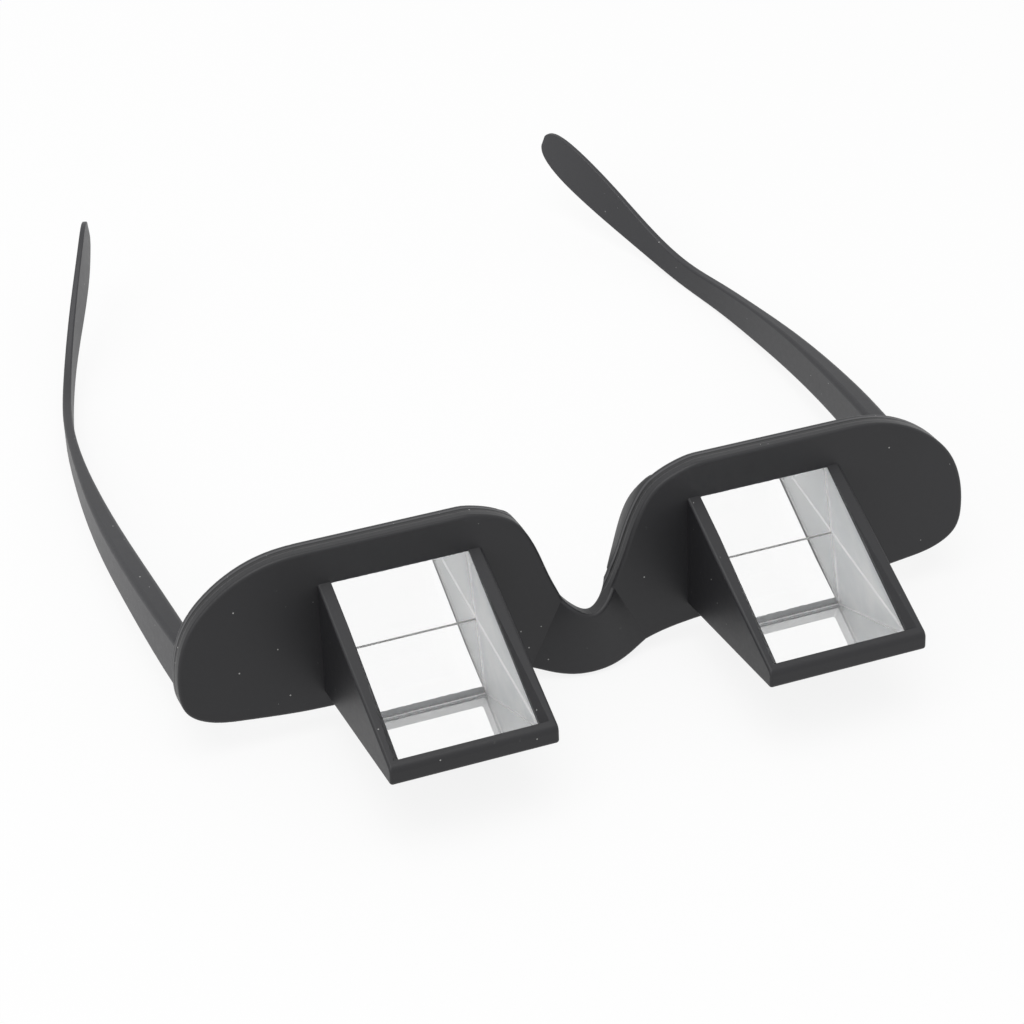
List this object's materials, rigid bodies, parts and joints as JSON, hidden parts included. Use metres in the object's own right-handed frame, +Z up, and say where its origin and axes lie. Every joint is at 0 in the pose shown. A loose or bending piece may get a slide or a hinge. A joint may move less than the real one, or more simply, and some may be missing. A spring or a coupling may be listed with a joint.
{
  "type": "prism bed glasses",
  "caption": "Glasses with wedge prisms in box housings on a flat black front, turning the view by a right angle so that the wearer can look forward while lying down",
  "frame": {"origin": "centre of the bounding box's bottom, on the ground that the glasses stand on, upside down as pictured", "axes": "+X along the front, to the right as seen from in front; +Y from the front towards the temple tips; +Z up as the glasses stand upside down, so down when they are worn"},
  "size_m": [0.1482, 0.1754, 0.0352],
  "materials": {
    "frame_plastic": "satin charcoal black, moulded",
    "retainer_plastic": "satin white, moulded",
    "temple_plastic": "satin charcoal black",
    "prism_glass": "polished, ends ground",
    "mirror_backing": "silvered",
    "hinge_metal": "pressed steel",
    "screw_metal": "turned steel",
    "rivet_metal": "pressed steel"
  },
  "bodies": {
    "front": {"front_frame": "frame_plastic", "prism_left": "prism_glass", "mirror_backing_left": "mirror_backing", "prism_retainer_left": "retainer_plastic", "front_hinge_left": "hinge_metal", "hinge_screw_left": "screw_metal", "front_rivet_left_a": "rivet_metal", "front_rivet_left_b": "rivet_metal", "prism_right": "prism_glass", "mirror_backing_right": "mirror_backing", "prism_retainer_right": "retainer_plastic", "front_hinge_right": "hinge_metal", "hinge_screw_right": "screw_metal", "front_rivet_right_a": "rivet_metal", "front_rivet_right_b": "rivet_metal"},
    "temple_left": {"temple_left": "temple_plastic", "temple_hinge_left": "hinge_metal", "temple_rivet_left_a": "rivet_metal", "temple_rivet_left_b": "rivet_metal"},
    "temple_right": {"temple_right": "temple_plastic", "temple_hinge_right": "hinge_metal", "temple_rivet_right_a": "rivet_metal", "temple_rivet_right_b": "rivet_metal"}
  },
  "joints": [
    {"name": "temple_left_fold", "type": "hinge", "parent": "front", "child": "temple_left", "pos_m": [-0.06668, -0.0462, 0.01172], "axis": [0, -0.1645, -0.9864], "range_deg": [0, 84]},
    {"name": "temple_right_fold", "type": "hinge", "parent": "front", "child": "temple_right", "pos_m": [0.06668, -0.0462, 0.01172], "axis": [0, 0.1645, 0.9864], "range_deg": [0, 79]}
  ]
}
